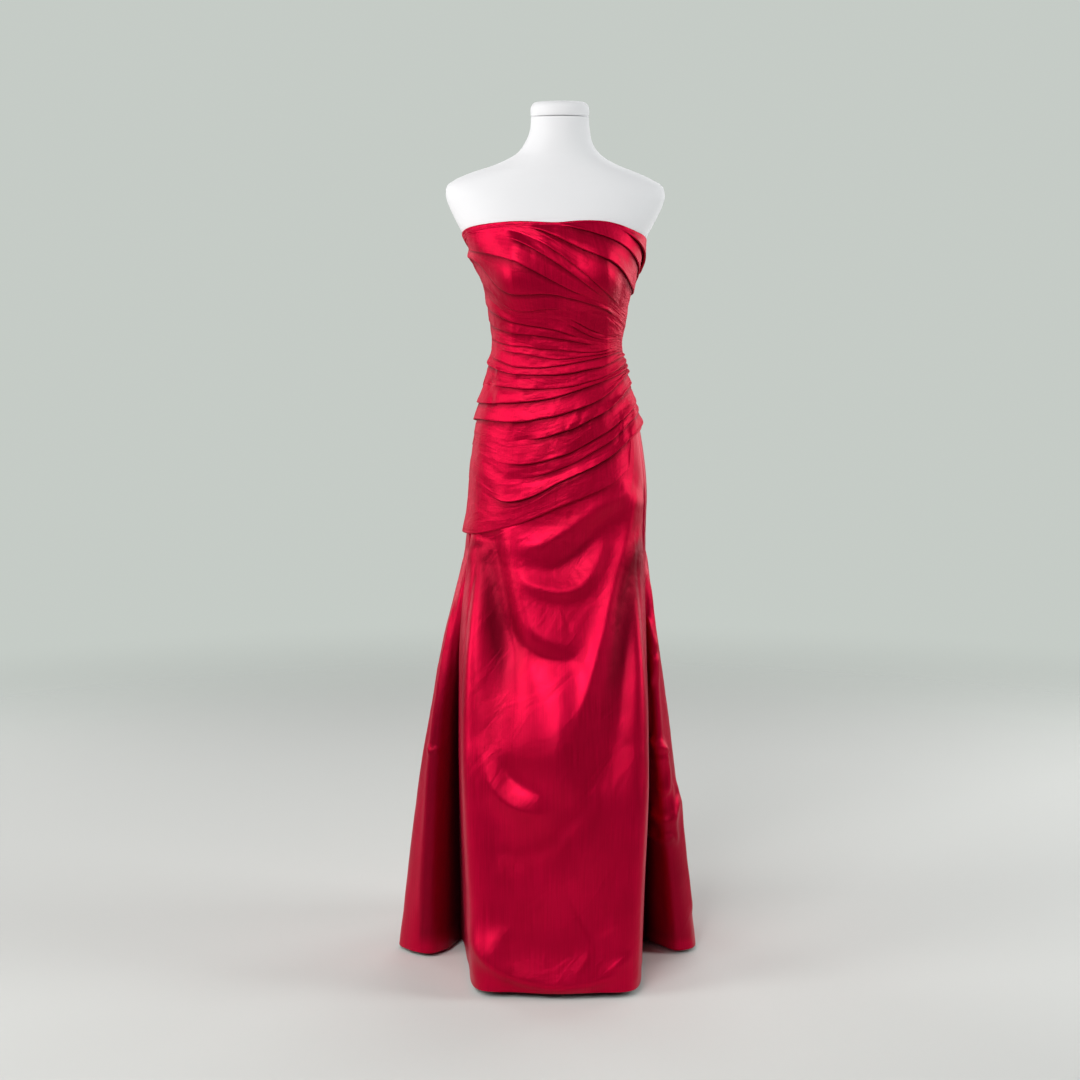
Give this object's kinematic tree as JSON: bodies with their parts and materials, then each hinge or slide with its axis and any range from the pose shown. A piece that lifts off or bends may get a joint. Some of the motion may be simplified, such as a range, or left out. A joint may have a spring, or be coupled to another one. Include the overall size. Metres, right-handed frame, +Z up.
{
  "type": "strapless evening gown on dress form",
  "caption": "Strapless evening gown in crimson satin: a bodice draped in slanting pleats to an uneven hip edge over a full-length flared skirt, on a limbless dress form with a round stand.",
  "frame": {"origin": "centre of the stand's underside, on the floor", "axes": "+Z up along the pole, the gown faces -Y, +X is the wearer's left"},
  "size_m": [0.5381, 0.5153, 1.507],
  "materials": {
    "satin": "crimson satin with a strong soft sheen",
    "enamel": "zip metal enamelled to match the satin",
    "jersey": "fine white jersey stretched smooth over the form",
    "steel": "brushed steel"
  },
  "bodies": {
    "gown_on_form": {"bodice_front": "satin", "bodice_back_left": "satin", "bodice_back_right": "satin", "skirt_front": "satin", "skirt_side_left": "satin", "skirt_side_right": "satin", "skirt_back_left": "satin", "skirt_back_right": "satin", "zip_slider": "enamel", "form_torso": "jersey", "form_neck_cap": "jersey", "stand_base": "steel", "stand_pole": "steel"},
    "zip_tab": {"zip_pull": "enamel"}
  },
  "joints": [
    {"name": "zip_pull_swing", "type": "hinge", "parent": "gown_on_form", "child": "zip_tab", "pos_m": [0, 0.1084, 1.2395], "axis": [1, 0, 0], "range_deg": [0, 150]}
  ]
}
